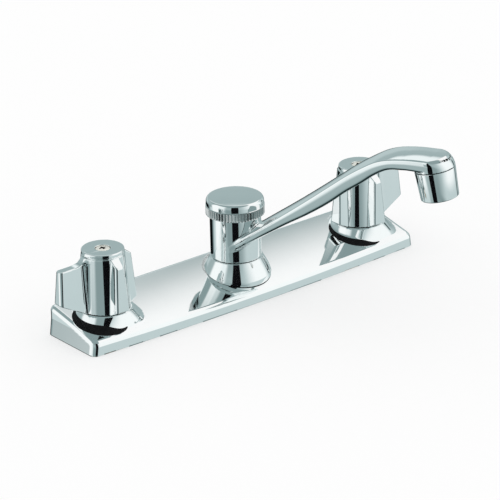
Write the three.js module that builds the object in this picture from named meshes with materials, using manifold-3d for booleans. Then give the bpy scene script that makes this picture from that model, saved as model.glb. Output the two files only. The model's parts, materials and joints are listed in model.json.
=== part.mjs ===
// Two handle kitchen faucet on a cover plate, for sinks with holes eight inches apart.
// Millimetres, +Z up, front is -Y. The origin is on the sink deck, under the middle of the plate.
import * as THREE from "three";
import { mergeVertices } from "three/addons/utils/BufferGeometryUtils.js";
import Module from "manifold-3d";

const wasm = await Module();
wasm.setup();

// ---------------------------------------------------------------- driving dimensions
const clearance = 0.3; // between pieces that seat on each other
const roundSides = 36; // facets of the large revolved pieces
const smallSides = 20; // facets of the small and hidden revolved pieces

// cover plate
const holeSpacing = 203.2; // between the two handle axes
const plateLength = 253.4;
const plateBack = 24.5; // from the handle line to the back edge
const plateFront = 23; // from the handle line to the front edge, at the ends
const plateBow = 3.3; // how far the front edge bows out in the middle
const plateCorner = 4.6;
const plateHeight = 14; // of the top face, above the handle line
const plateSlope = 0.22; // the top face falls this much for each millimetre towards the front
const plateEdgeRound = 3;
const plateWall = 2;
const plateEndDraft = 1.5; // how far the ends spread towards the deck
const gasketThickness = 2;
const plugHeight = 0.8; // how far the gasket's edge stays inside the plate wall

// inlet shanks and what clamps the faucet to the sink
const shankRadius = 10.3;
const shankBore = 6.2;
const shankLength = 48; // below the deck
const shankSpigotRadius = 8.1;
const shankSpigotHeight = 2.6;
const sinkDeckThickness = 16; // room for the sink between the gasket and the washers
const washerRadius = 17.5;
const washerThickness = 2;
const mountingNutAcross = 31;
const mountingNutHeight = 9;
const mountingNutFlange = 17.2;
const mountingNutFlangeThickness = 2.4;

// brass waterway under the plate
const waterwayFloor = 2.6; // its underside, above the deck
const valveTowerRadius = 10.4;
const valveTowerTop = 23;
const valveChamberRadius = 8.4;
const valveChamberFloor = 9.5;
const socketTop = 5.6; // of the shank's socket
const portOffset = 4.6; // inlet and outlet ports, from the valve axis
const portRadius = 2.2;
const seatPocketRadius = 3.1;
const crossTubeRadius = 3.5;
const crossTubeBore = 2.2;
const crossTubeHeight = 6.6;
const spoutTowerRadius = 12.5;
const spoutTowerTop = 14;

// valve cartridges
const cartridgeFlangeRadius = 10.1;
const cartridgeFlangeThickness = 1.5;
const cartridgeBarrelRadius = 7.6;
const cartridgeTop = 33;
const stemRadius = 3.9;
const stemSplineDepth = 0.45;
const stemSplines = 16;
const stemTop = 50;
const stemSplineBottom = 36;
const bonnetNutAcross = 23.2;
const bonnetNutTop = 25.8;
const bonnetLip = 1.2;
const sealHeight = 1.7;

// bosses of the plate under the handles
const bossTop = 18.7;
const bossTopRadius = 16.7;
const bossSpread = 0.64; // growth of the radius for each millimetre down
const bossSweep = 4; // width of the concave curve that runs out on the plate
const bossWall = 1.8;

// conical ring under the spout
const spoutRingTop = 23.3;
const spoutRingTopRadius = 16.7;
const spoutRingFootRadius = 21.6;
const spoutRingFootDrop = 10.6; // from the ring's top to its foot radius
const spoutRingWall = 1.4;

// handles
const handleBottom = 19.06;
const handleTop = 56.7;
const handleTopRadius = 13;
const handleCollarHeight = 3.2;
const handleCollarStep = 0.35;
const handleBottomRadius = 15.4;
const handleWall = 1.2;
const handleTopThickness = 5;
const handleSocketRadius = 7.4;
const armTopWidth = 4.6; // of the lever and the fins
const armBottomWidth = 10;
const armBlend = 3.2; // concave curve between an arm's side and the bell
const finTopReach = 18.7;
const finBottomReach = 20.6;
const finTopDrop = 7.4; // from the handle's top to the top of a fin's end
const finBottomRise = 2.6; // of a fin's lower corner above the bell's rim
const leverTopReach = 31.6;
const leverBottomReach = 33;
const leverTopDrop = 7.4; // from the handle's top to the lever's tip
const leverTipBottom = 28.4; // height of the lever's lower corner at the tip
const leverNeckRadius = 4.6; // concave curve between the lever's top and the collar
const leftHandleTurn = 176.2; // degrees, where the lever points at rest
const rightHandleTurn = 0.3;
const screwHeadRadius = 4.5;
const screwHeadHeight = 1.7;
const screwRadius = 1.6;
const screwLength = 13;

// spout post, hub and nut
const postRadius = 9.5;
const postBore = 6;
const postThreadRadius = 8.4;
const postShoulder = 45; // height where the thread starts
const postTop = 58.2;
const postHexAcross = 21;
const postHexHeight = 4;
const postPortHeight = 35.4;
const postPortRadius = 3;
const sealSection = 0.9; // radius of the O-ring's section
const sealHeights = [29, 42.4];
const hubRadius = 15.9;
const hubBottom = 23.7;
const hubTop = 51.4;
const hubBoreRadius = 10.1;
const hubGrooveRadius = 12;
const hubGrooveBottom = 31.6;
const hubGrooveTop = 39.4;
const hubRecessRadius = 13.6;
const hubRecessDepth = 1.4;
const glideWasherThickness = 1.2;
const nutTop = 62.3;
const nutFaceRadius = 16.1;
const nutRadius = 18;
const nutKnurlRadius = 18.3;
const nutKnurlDepth = 0.5;
const nutKnurlCount = 60;
const nutBottom = 51.8;
const nutKnurlTop = 57.4;
const nutWall = 2.6;
const nutBossRadius = 12;

// spout arm
const spoutSwing = 25.5; // degrees, from straight ahead towards the right handle
const spoutReach = 132.2; // from the hub's axis to the outlet's axis
const spoutPeakHeight = 108.2; // top of the arm, at the nose
const noseHeight = 8; // from the top of the nose down to the seam, on the outlet's axis
const spoutRootHeight = 34.6; // top of the arm, at the hub's axis
const armRootHalfWidth = 15.2;
const noseRadius = 12.45;
const noseTilt = 10.8; // degrees, the outlet leans outwards
const armWall = 1.9;
const noseSocketRadius = 10.3;
const noseSocketDepth = 6;
// Stations along the arm: share of the reach, share of the climb, depth of the side.
const armStations = [
  [0, 0, 7.2],
  [0.076, 0.092, 7.2],
  [0.189, 0.234, 7.6],
  [0.303, 0.378, 8.5],
  [0.416, 0.527, 10.4],
  [0.53, 0.682, 11.4],
  [0.605, 0.783, 10.9],
  [0.681, 0.872, 10.4],
  [0.741, 0.932, 8.8],
  [0.802, 0.969, 7.1],
  [0.877, 0.99, 7.3],
  [1, 1, 8.2],
];

// aerator
const aeratorLength = 18.4;
const aeratorTopRadius = 12.45;
const aeratorBottomRadius = 11.5;
const aeratorBore = 8.9;
const aeratorNeckRadius = 9.9;
const aeratorNeckLength = 4;
const aeratorLip = 1.1;
const aeratorScreenThickness = 2.4;
const aeratorHoleRadius = 0.8;
const aeratorHoleRings = 3;
const aeratorHolePitch = 2.3;

// ---------------------------------------------------------------- finishes
function finish(color, roughness, metalness) {
  return () => new THREE.MeshStandardMaterial({ color, roughness, metalness });
}
const chrome = finish(0xc8d2d2, 0.06, 1);
const brass = finish(0xb08d4a, 0.35, 1);
const steel = finish(0xaeb2b4, 0.25, 1);
const rubber = finish(0x141516, 0.8, 0);
const nylon = finish(0xe4e2da, 0.5, 0);
const acetal = finish(0x6f7c86, 0.45, 0);

// ---------------------------------------------------------------- solids
// A closed three.js geometry as a solid, with its faces turned outwards.
function solid(geometry) {
  const bare = geometry.index ? geometry.toNonIndexed() : geometry.clone();
  bare.deleteAttribute("normal");
  bare.deleteAttribute("uv");
  const merged = mergeVertices(bare, 1e-4);
  const corners = merged.index.array;
  const build = (a, b, c) => {
    const triVerts = [];
    for (let i = 0; i < corners.length; i += 3) {
      const face = [corners[i + a], corners[i + b], corners[i + c]];
      if (new Set(face).size === 3) triVerts.push(...face);
    }
    return new wasm.Manifold(
      new wasm.Mesh({
        numProp: 3,
        vertProperties: merged.attributes.position.array,
        triVerts: new Uint32Array(triVerts),
      }),
    );
  };
  const made = build(0, 1, 2);
  return made.volume() > 0 ? made : build(0, 2, 1);
}

const zAxis = new THREE.Vector3(0, 0, 1);
const join = (first, ...rest) => rest.reduce((sum, piece) => sum.add(piece), first);
const cut = (first, ...rest) => rest.reduce((left, tool) => left.subtract(tool), first);

// Turns an outline of [radius, height] points round the Z axis.
function revolve(outline, sides = roundSides) {
  const points = outline.map(([r, z]) => new THREE.Vector2(r, z));
  const onAxis = points[0].x === 0 && points.at(-1).x === 0;
  if (!onAxis) points.push(points[0].clone());
  return new THREE.LatheGeometry(points, sides).rotateX(Math.PI / 2);
}

const disc = (radius, low, high, sides = roundSides) =>
  revolve([[0, low], [radius, low], [radius, high], [0, high]], sides);
const ring = (inner, outer, low, high, sides = roundSides) =>
  revolve([[inner, low], [outer, low], [outer, high], [inner, high]], sides);

// A flat outline raised from one height to another.
function raise(shape, low, high, curveSegments = 12) {
  const depth = high - low;
  return new THREE.ExtrudeGeometry(shape, { depth, bevelEnabled: false, curveSegments }).translate(0, 0, low);
}

// A side view of [x, z] drawn as a shape, given a width that is centred on y = 0.
function widen(shape, width, curveSegments = 12) {
  return new THREE.ExtrudeGeometry(shape, { depth: width, bevelEnabled: false, curveSegments })
    .rotateX(Math.PI / 2)
    .translate(0, width / 2, 0);
}

function polygon(points) {
  return new THREE.Shape(points.map(([x, y]) => new THREE.Vector2(x, y)));
}

function hexagon(across) {
  const corner = across / Math.sqrt(3);
  const points = [];
  for (let i = 0; i < 6; i++) points.push([corner * Math.cos((i * Math.PI) / 3), corner * Math.sin((i * Math.PI) / 3)]);
  return polygon(points);
}

// A toothed outline: splines and knurls.
function toothed(outer, inner, count) {
  const points = [];
  for (let i = 0; i < count * 2; i++) {
    const radius = i % 2 ? inner : outer;
    const angle = (i * Math.PI) / count;
    points.push([radius * Math.cos(angle), radius * Math.sin(angle)]);
  }
  return polygon(points);
}

// Closes a stack of outlines, each a list of Vector3 with the same number of points.
function loft(rings) {
  const count = rings[0].length;
  const positions = rings.flat().flatMap((p) => [p.x, p.y, p.z]);
  const faces = [];
  for (let k = 0; k + 1 < rings.length; k++) {
    for (let i = 0; i < count; i++) {
      const j = (i + 1) % count;
      const [a, b] = [k * count + i, k * count + j];
      faces.push(a, b, b + count, a, b + count, a + count);
    }
  }
  const flat = rings[0].map((p) => new THREE.Vector2(p.x, p.y));
  const top = (rings.length - 1) * count;
  for (const [a, b, c] of THREE.ShapeUtils.triangulateShape(flat, [])) {
    faces.push(a, c, b, top + a, top + b, top + c);
  }
  const geometry = new THREE.BufferGeometry();
  geometry.setAttribute("position", new THREE.Float32BufferAttribute(positions, 3));
  geometry.setIndex(faces);
  return geometry;
}

function part(name, body, material) {
  const { numProp, vertProperties, triVerts } = body.getMesh();
  const positions = new Float32Array((vertProperties.length / numProp) * 3);
  for (let i = 0; i * 3 < positions.length; i++) {
    positions.set(vertProperties.subarray(i * numProp, i * numProp + 3), i * 3);
  }
  const geometry = new THREE.BufferGeometry();
  geometry.setAttribute("position", new THREE.BufferAttribute(positions, 3));
  geometry.setIndex(new THREE.BufferAttribute(triVerts, 1));
  geometry.computeVertexNormals();
  const mesh = new THREE.Mesh(geometry, material());
  mesh.name = name;
  return mesh;
}

// ---------------------------------------------------------------- cover plate and gasket
const plateTop = (y) => plateHeight + plateSlope * y;

// The plate seen from above, drawn in by an inset, anticlockwise from the back left corner.
function platePlan(inset, spread = 0) {
  const points = [];
  const endX = plateLength / 2 - plateCorner + spread;
  const cornerRadius = plateCorner - inset;
  const cornerSteps = 4;
  const bowSteps = 12;
  const bowAngle = Math.atan((2 * plateBow) / endX);
  const corner = (x, y, from, sweep) => {
    for (let i = 0; i <= cornerSteps; i++) {
      const angle = from + (sweep * i) / cornerSteps;
      points.push([x + cornerRadius * Math.cos(angle), y + cornerRadius * Math.sin(angle)]);
    }
  };
  const quarter = Math.PI / 2;
  corner(-endX, plateBack - plateCorner, quarter, quarter);
  corner(-endX, plateCorner - plateFront, 2 * quarter, quarter - bowAngle);
  for (let i = 1; i < bowSteps; i++) {
    const x = -endX + (2 * endX * i) / bowSteps;
    points.push([x, inset - plateFront - plateBow * (1 - (x / endX) ** 2)]);
  }
  corner(endX, plateCorner - plateFront, 3 * quarter + bowAngle, quarter - bowAngle);
  corner(endX, plateBack - plateCorner, 0, quarter);
  return points;
}

// The plate's outside, or its hollow: drawn in by an inset, with a rounded edge under the sloping top.
function plateBody(inset, topDrop, edgeRound) {
  const edgeSteps = 3;
  const foot = inset > 0 ? -1 : 0;
  const rings = [platePlan(inset, plateEndDraft).map(([x, y]) => new THREE.Vector3(x, y, foot))];
  for (let i = 0; i <= edgeSteps; i++) {
    const angle = (i * Math.PI) / (2 * edgeSteps);
    const drawnIn = inset + edgeRound * (1 - Math.cos(angle));
    const drop = topDrop + edgeRound * (1 - Math.sin(angle));
    rings.push(platePlan(drawnIn).map(([x, y]) => new THREE.Vector3(x, y, plateTop(y) - drop)));
  }
  return loft(rings);
}

const handleAxes = [-holeSpacing / 2, holeSpacing / 2];

// The smaller of two lengths, with a smooth change from one to the other.
const softly = (a, b) => (a ** -12 + b ** -12) ** (-1 / 12);

// A boss that spreads from its level top and runs out in a concave curve on the sloping plate.
function bossFlare() {
  const across = holeSpacing / (plateLength - 2 * plateCorner);
  const frontRoom = plateFront + plateBow * (1 - across ** 2) - plateEdgeRound;
  const curveSteps = 4;
  const edge = 0.4;
  const columns = [];
  for (let i = 0; i < roundSides; i++) {
    const angle = (2 * Math.PI * i) / roundSides;
    const rise = plateSlope * Math.sin(angle);
    const meets = (bossTopRadius + bossSpread * (bossTop - plateHeight)) / (1 + bossSpread * rise);
    const room = frontRoom / Math.max(-Math.sin(angle), 0.1);
    const end = softly(meets + bossSweep * 0.7, room);
    const root = softly(meets, room - 1.5);
    const onPlate = (r) => new THREE.Vector2(r, plateHeight + rise * r);
    const shoulder = new THREE.Vector2(bossTopRadius, bossTop - edge);
    const flank = shoulder.distanceTo(onPlate(root));
    const start = onPlate(root).lerp(shoulder, Math.min(0.7, bossSweep / flank));
    const sweep = new THREE.QuadraticBezierCurve(onPlate(end), onPlate(root), start);
    const profile = [onPlate(end).setY(onPlate(end).y - plateWall / 2), ...sweep.getPoints(curveSteps)];
    profile.push(shoulder, new THREE.Vector2(bossTopRadius - edge, bossTop));
    columns.push(profile.map((p) => new THREE.Vector3(p.x * Math.cos(angle), p.x * Math.sin(angle), p.y)));
  }
  return loft(columns[0].map((_, level) => columns.map((column) => column[level])));
}

function bossHollow() {
  const roof = bossTop - bossWall;
  const roofRadius = bossTopRadius - bossWall;
  return revolve([[0, gasketThickness], [roofRadius + 2, gasketThickness], [roofRadius, roof], [0, roof]]);
}

function deckPlate() {
  const hollow = plateBody(plateWall, plateWall, plateEdgeRound - plateWall + 0.6);
  const bosses = handleAxes.map((x) => solid(bossFlare().translate(x, 0, 0)));
  const openings = handleAxes.flatMap((x) => [
    solid(bossHollow().translate(x, 0, 0)),
    solid(disc(valveTowerRadius + clearance, plateHeight, bossTop + 1).translate(x, 0, 0)),
  ]);
  return cut(
    join(solid(plateBody(0, 0, plateEdgeRound)), ...bosses),
    solid(hollow),
    ...openings,
    solid(disc(spoutTowerRadius + clearance, -1, plateHeight * 3)),
  );
}

function deckGasket() {
  const holes = handleAxes.map((x) => disc(shankRadius + clearance, -1, gasketThickness + 1).translate(x, 0, 0));
  return cut(
    solid(raise(polygon(platePlan(plateWall + plugHeight, plateEndDraft)), 0, gasketThickness)),
    ...holes.map(solid),
  );
}

// ---------------------------------------------------------------- under the deck
function shank() {
  const spigotTop = waterwayFloor + shankSpigotHeight - clearance;
  return solid(
    revolve([
      [shankBore, -shankLength],
      [shankRadius, -shankLength],
      [shankRadius, waterwayFloor - clearance],
      [shankSpigotRadius, waterwayFloor - clearance],
      [shankSpigotRadius, spigotTop],
      [shankBore, spigotTop],
    ], smallSides),
  );
}

const washerTop = -sinkDeckThickness - clearance;
const mountingNutTop = washerTop - washerThickness - clearance;

function mountingWasher() {
  return solid(ring(shankRadius + clearance, washerRadius, washerTop - washerThickness, washerTop, smallSides));
}

function mountingNut() {
  const flangeBottom = mountingNutTop - mountingNutFlangeThickness;
  return cut(
    join(
      solid(disc(mountingNutFlange, flangeBottom, mountingNutTop)),
      solid(raise(hexagon(mountingNutAcross), mountingNutTop - mountingNutHeight, flangeBottom + 0.5)),
    ),
    solid(disc(shankRadius + clearance, mountingNutTop - mountingNutHeight - 1, mountingNutTop + 1, smallSides)),
  );
}

// ---------------------------------------------------------------- waterway
const seatSealBottom = valveChamberFloor - sealHeight;

// Each valve has its seat pocket on the outer side and its outlet towards the middle.
function waterwayBody() {
  const half = holeSpacing / 2;
  const tube = (radius, reach) =>
    solid(disc(radius, -reach, reach, smallSides).rotateY(Math.PI / 2).translate(0, 0, crossTubeHeight));
  const bore = (radius, low, high, x = 0) => solid(disc(radius, low, high, smallSides).translate(x, 0, 0));
  let body = join(tube(crossTubeRadius, half), bore(spoutTowerRadius, waterwayFloor, spoutTowerTop));
  for (const x of handleAxes) {
    body = body.add(bore(valveTowerRadius, waterwayFloor, valveTowerTop, x));
  }
  body = cut(
    body,
    tube(crossTubeBore, half - portOffset),
    bore(postRadius + clearance, crossTubeHeight - crossTubeBore, spoutTowerTop + 1),
  );
  for (const x of handleAxes) {
    const outward = Math.sign(x) * portOffset;
    body = cut(
      body,
      bore(valveChamberRadius, valveChamberFloor, valveTowerTop + 1, x),
      bore(shankSpigotRadius + clearance, waterwayFloor - 1, socketTop, x),
      bore(portRadius, socketTop - 1, valveChamberFloor, x + outward),
      bore(seatPocketRadius, seatSealBottom - clearance, valveChamberFloor + 1, x + outward),
      bore(portRadius, crossTubeHeight, valveChamberFloor + 1, x - outward),
    );
  }
  return body;
}

// ---------------------------------------------------------------- valve: x is +1 or -1, the outer side
const cartridgeBottom = valveChamberFloor + clearance;
const stemBottom = cartridgeBottom + 2.4;
const flangeBottom = valveTowerTop + clearance;

function cartridgeBody(outer) {
  const flangeTop = flangeBottom + cartridgeFlangeThickness;
  const body = solid(
    revolve([
      [0, cartridgeBottom],
      [valveChamberRadius - clearance, cartridgeBottom],
      [valveChamberRadius - clearance, flangeBottom],
      [cartridgeFlangeRadius, flangeBottom],
      [cartridgeFlangeRadius, flangeTop],
      [cartridgeBarrelRadius, flangeTop],
      [cartridgeBarrelRadius, cartridgeTop - 1],
      [cartridgeBarrelRadius - 1, cartridgeTop],
      [0, cartridgeTop],
    ], smallSides),
  );
  const port = (x) => solid(disc(portRadius - 0.3, cartridgeBottom - 1, stemBottom, smallSides).translate(x, 0, 0));
  return cut(
    body,
    solid(disc(stemRadius + clearance, stemBottom - clearance, cartridgeTop + 1, smallSides)),
    port(outer * portOffset),
    port(-outer * portOffset),
  );
}

function bonnetNut() {
  const flangeTop = flangeBottom + cartridgeFlangeThickness;
  const bottom = bossTop + clearance;
  return cut(
    solid(raise(hexagon(bonnetNutAcross), bottom, bonnetNutTop + bonnetLip)),
    solid(disc(valveTowerRadius + clearance, bottom - 1, flangeTop + clearance, smallSides)),
    solid(disc(cartridgeBarrelRadius + clearance, bottom, bonnetNutTop + bonnetLip + 1, smallSides)),
  );
}

function cartridgeStem() {
  const round = disc(stemRadius - stemSplineDepth, stemBottom, stemSplineBottom + 1, smallSides);
  const foot = disc(stemRadius, stemBottom, cartridgeTop - 2, smallSides);
  const spline = raise(toothed(stemRadius, stemRadius - stemSplineDepth, stemSplines), stemSplineBottom, stemTop);
  return cut(
    join(solid(round), solid(foot), solid(spline)),
    solid(disc(screwRadius + clearance, stemTop - screwLength, stemTop + 1, smallSides)),
  );
}

function seatSeal() {
  return solid(ring(1.2, seatPocketRadius - clearance, seatSealBottom, valveChamberFloor, smallSides));
}

// ---------------------------------------------------------------- conical ring under the spout
function spoutRing() {
  const steps = 4;
  const edge = 0.4;
  const drop = spoutRingFootDrop - edge;
  const outside = [];
  const inside = [];
  for (let i = 0; i <= steps; i++) {
    const bulge = Math.sin((i * Math.PI) / (3 * steps)) / Math.sin(Math.PI / 3);
    const radius = THREE.MathUtils.lerp(spoutRingTopRadius, spoutRingFootRadius, bulge);
    const height = spoutRingTop - edge - (drop * i) / steps;
    outside.push([radius, height]);
    inside.push([radius - spoutRingWall, Math.min(height, spoutRingTop - spoutRingWall)]);
  }
  const shell = revolve([
    [postRadius + clearance, spoutRingTop],
    [spoutRingTopRadius - edge, spoutRingTop],
    ...outside,
    [spoutRingFootRadius, 0],
    [spoutRingFootRadius - spoutRingWall, 0],
    ...inside.reverse(),
    [postRadius + clearance, spoutRingTop - spoutRingWall],
  ]);
  // The foot is cut parallel to the plate's top face.
  const size = 4 * spoutRingFootRadius;
  const under = new THREE.BoxGeometry(size, size, size)
    .translate(0, 0, -size / 2)
    .rotateX(Math.atan(plateSlope))
    .translate(0, 0, plateHeight + clearance);
  return cut(solid(shell), solid(under));
}

// ---------------------------------------------------------------- handles
// A level slice of the arms: a circle with four arms, joined to it by concave curves.
function armSlice(radius, halfWidth, height) {
  const blendSteps = 3;
  const side = halfWidth + armBlend;
  const along = Math.sqrt((radius + armBlend) ** 2 - side ** 2);
  const lean = Math.atan2(side, along);
  const flank = [];
  for (let i = 0; i <= blendSteps; i++) {
    const angle = 1.5 * Math.PI - ((Math.PI / 2 - lean) * i) / blendSteps;
    flank.push([along + armBlend * Math.cos(angle), side + armBlend * Math.sin(angle)]);
  }
  flank.unshift([leverBottomReach + 1, halfWidth]);
  const arm = [...flank.map(([x, y]) => [x, -y]).reverse(), ...flank];
  const points = [];
  for (let k = 0; k < 4; k++) {
    for (const [x, y] of arm) points.push(new THREE.Vector3(x, y, height).applyAxisAngle(zAxis, (k * Math.PI) / 2));
  }
  return points;
}

function armStar(collarBottom, bodyTopRadius) {
  const neckTop = handleTop - 1;
  const halfWidth = (z) =>
    THREE.MathUtils.mapLinear(z, handleBottom, handleTop, armBottomWidth / 2, armTopWidth / 2);
  return loft([
    armSlice(handleBottomRadius, halfWidth(handleBottom), handleBottom),
    armSlice(bodyTopRadius, halfWidth(collarBottom), collarBottom),
    armSlice(handleTopRadius - 0.2, halfWidth(neckTop), neckTop),
  ]);
}

function leverSide() {
  const tipTop = handleTop - leverTopDrop;
  const neckX = handleTopRadius + leverNeckRadius;
  const side = new THREE.Shape();
  side.moveTo(0, handleBottom);
  side.lineTo(handleBottomRadius, handleBottom);
  side.lineTo(leverBottomReach, leverTipBottom);
  side.lineTo(leverTopReach, tipTop);
  side.lineTo(neckX + 1.5, tipTop + 0.5);
  side.quadraticCurveTo(handleTopRadius + 0.8, tipTop + 1, handleTopRadius, handleTop - 1.2);
  side.lineTo(0, handleTop - 1.2);
  side.closePath();
  return side;
}

function finSide() {
  const side = new THREE.Shape();
  side.moveTo(0, handleBottom);
  side.lineTo(handleBottomRadius, handleBottom);
  side.lineTo(finBottomReach, handleBottom + finBottomRise);
  side.lineTo(finTopReach, handleTop - finTopDrop);
  side.lineTo(handleTopRadius, handleTop - handleCollarHeight);
  side.lineTo(0, handleTop - handleCollarHeight);
  side.closePath();
  return side;
}

function handle() {
  const collarBottom = handleTop - handleCollarHeight;
  const bodyTopRadius = handleTopRadius + handleCollarStep;
  const outside = solid(
    revolve([
      [0, handleBottom],
      [handleBottomRadius, handleBottom],
      [bodyTopRadius, collarBottom],
      [handleTopRadius, collarBottom + handleCollarStep],
      [handleTopRadius, handleTop - 0.4],
      [handleTopRadius - 0.4, handleTop],
      [0, handleTop],
    ]),
  );
  const ceiling = handleTop - handleTopThickness;
  const hollow = revolve([
    [0, handleBottom - 1],
    [handleBottomRadius - handleWall, handleBottom - 1],
    [handleBottomRadius - handleWall, handleBottom],
    [bodyTopRadius - handleWall, collarBottom - 2],
    [handleTopRadius - handleWall - 1, ceiling],
    [0, ceiling],
  ]);
  const socket = disc(handleSocketRadius, cartridgeTop + 1, ceiling + 1, smallSides);
  const broach = toothed(stemRadius + clearance, stemRadius - stemSplineDepth + clearance, stemSplines);
  // Each arm is what its own side view leaves of the star.
  const slab = armBottomWidth + 2 * armBlend + 3;
  const views = [leverSide(), finSide(), finSide(), finSide()];
  const limits = views.map((side, k) => solid(widen(side, slab, 5).rotateZ((k * Math.PI) / 2)));
  const arms = solid(armStar(collarBottom, bodyTopRadius)).intersect(join(...limits));
  return cut(
    join(cut(join(outside, arms), solid(hollow)), solid(socket)),
    solid(raise(broach, cartridgeTop, stemTop + clearance)),
    solid(disc(screwRadius + 0.5, stemTop, handleTop + 1, smallSides)),
    solid(disc(screwHeadRadius + clearance, handleTop - screwHeadHeight, handleTop + 1, smallSides)),
  );
}

function handleScrew() {
  const headBottom = handleTop - screwHeadHeight + clearance;
  const headTop = handleTop + 0.25;
  const body = solid(
    revolve(
      [
        [0, stemTop - screwLength + 1],
        [screwRadius, stemTop - screwLength + 2],
        [screwRadius, headBottom],
        [screwHeadRadius, headBottom],
        [screwHeadRadius, headTop - 0.5],
        [screwHeadRadius * 0.72, headTop],
        [0, headTop],
      ],
      smallSides,
    ),
  );
  const slot = (x, y) => solid(new THREE.BoxGeometry(x, y, 2).translate(0, 0, headTop));
  return cut(body, slot(4.4, 1.1), slot(1.1, 4.4));
}

// ---------------------------------------------------------------- spout post, seals, washer and nut
function spoutPost() {
  const bottom = crossTubeHeight - crossTubeBore + clearance;
  const hexBottom = spoutTowerTop + clearance;
  const outline = [[postBore, bottom], [postRadius, bottom]];
  for (const height of sealHeights) {
    const groove = postRadius - 2 * sealSection - clearance;
    const half = sealSection + clearance;
    outline.push([postRadius, height - half], [groove, height - half], [groove, height + half]);
    outline.push([postRadius, height + half]);
  }
  outline.push(
    [postRadius, postShoulder],
    [postThreadRadius, postShoulder],
    [postThreadRadius, postTop - 0.8],
    [postThreadRadius - 0.8, postTop],
    [0, postTop],
    [0, postShoulder - 3],
    [postBore, postShoulder - 3],
  );
  const hex = cut(
    solid(raise(hexagon(postHexAcross), hexBottom, hexBottom + postHexHeight)),
    solid(disc(postBore + 0.5, hexBottom - 1, hexBottom + postHexHeight + 1, smallSides)),
  );
  const port = disc(postPortRadius, -postRadius - 1, postRadius + 1, smallSides);
  const inlet = disc(crossTubeBore, -postRadius - 1, postRadius + 1, smallSides);
  return cut(
    join(solid(revolve(outline, smallSides)), hex),
    solid(port.clone().rotateX(Math.PI / 2).translate(0, 0, postPortHeight)),
    solid(port.clone().rotateY(Math.PI / 2).translate(0, 0, postPortHeight)),
    solid(inlet.rotateY(Math.PI / 2).translate(0, 0, crossTubeHeight)),
  );
}

function sealRing(height) {
  return solid(
    new THREE.TorusGeometry(postRadius - sealSection, sealSection, 6, smallSides).translate(0, 0, height),
  );
}

const hubFloor = hubTop - hubRecessDepth; // of the recess that holds the glide washer

function glideWasher() {
  const low = hubFloor + clearance;
  return solid(
    ring(postThreadRadius + clearance, hubRecessRadius - clearance, low, low + glideWasherThickness, smallSides),
  );
}

function spoutNut() {
  const edge = nutRadius - nutFaceRadius;
  const outside = [[0, nutBottom], [nutRadius, nutBottom], [nutRadius, nutTop - edge * 1.5]];
  const edgeSteps = 5;
  for (let i = 1; i <= edgeSteps; i++) {
    const angle = (i * Math.PI) / (2 * edgeSteps);
    const drop = 1.5 * edge * (1 - Math.sin(angle));
    outside.push([nutFaceRadius + edge * Math.cos(angle), nutTop - drop]);
  }
  outside.push([0, nutTop]);
  const knurl = raise(toothed(nutKnurlRadius, nutKnurlRadius - nutKnurlDepth, nutKnurlCount), nutBottom, nutKnurlTop);
  const ceiling = nutTop - nutWall;
  const hollow = ring(nutBossRadius, nutRadius - nutWall, nutBottom - 1, ceiling - 1);
  return cut(
    join(solid(revolve(outside)), solid(knurl)),
    solid(hollow),
    solid(disc(postThreadRadius + clearance, nutBottom - 1, postTop + clearance, smallSides)),
  );
}

// ---------------------------------------------------------------- spout arm, drawn along +X
const spoutSeamHeight = spoutPeakHeight - noseHeight;
const armLength = spoutReach + noseRadius + 4;

// Heights of the arm's top and underside edges, drawn in by a wall.
function armSide(wall) {
  const climb = spoutPeakHeight - spoutRootHeight;
  const upper = [];
  const lower = [];
  for (const [along, up, depth] of armStations) {
    const x = along * spoutReach;
    const top = spoutRootHeight + climb * up;
    upper.push(new THREE.Vector2(x, top - wall));
    lower.push(new THREE.Vector2(x, top - depth + wall));
  }
  const end = upper.at(-1);
  const side = new THREE.Shape();
  side.moveTo(lower[0].x, lower[0].y);
  side.splineThru(lower.slice(1));
  side.lineTo(armLength, lower.at(-1).y - wall);
  side.lineTo(armLength, end.y);
  side.lineTo(end.x, end.y);
  side.splineThru(upper.slice(0, -1).reverse());
  side.closePath();
  return side;
}

function armPlan(wall) {
  const root = armRootHalfWidth - wall;
  const tip = noseRadius - wall;
  return polygon([[0, -root], [spoutReach, -tip], [spoutReach, tip], [0, root]]);
}

// A revolved piece on the outlet's leaning axis, with heights counted up from the seam.
const onOutlet = (geometry) =>
  geometry.rotateY(THREE.MathUtils.degToRad(-noseTilt)).translate(spoutReach, 0, spoutSeamHeight);

function armBody(wall, curveSegments) {
  return solid(widen(armSide(wall), 4 * noseRadius, curveSegments)).intersect(
    solid(raise(armPlan(wall), 0, 2 * spoutPeakHeight)),
  );
}

function spoutArm() {
  const noseTop = spoutPeakHeight + noseRadius;
  const nose = cut(
    solid(onOutlet(disc(noseRadius, 0, noseTop - spoutSeamHeight))),
    solid(disc(4 * noseRadius, spoutPeakHeight, 2 * spoutPeakHeight).translate(spoutReach, 0, 0)),
  );
  const hub = solid(
    revolve([
      [0, hubBottom],
      [hubRadius - 0.3, hubBottom],
      [hubRadius, hubBottom + 0.3],
      [hubRadius, hubTop],
      [0, hubTop],
    ]),
  );
  const bores = [
    disc(hubBoreRadius, hubBottom - 1, postShoulder + 1),
    disc(postThreadRadius + 2 * clearance, postShoulder, hubTop + 1),
    disc(hubRecessRadius, hubFloor, hubTop + 1),
    disc(hubGrooveRadius, hubGrooveBottom, hubGrooveTop),
  ];
  const waterway = cut(
    armBody(armWall, 4),
    solid(disc(hubGrooveRadius - 0.5, 0, spoutPeakHeight)),
  );
  return cut(
    join(hub, armBody(0, 4), nose),
    waterway,
    ...bores.map(solid),
    solid(onOutlet(disc(2 * noseRadius, -2 * noseRadius, 0))),
    solid(onOutlet(disc(noseSocketRadius, -1, noseSocketDepth))),
  );
}

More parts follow.
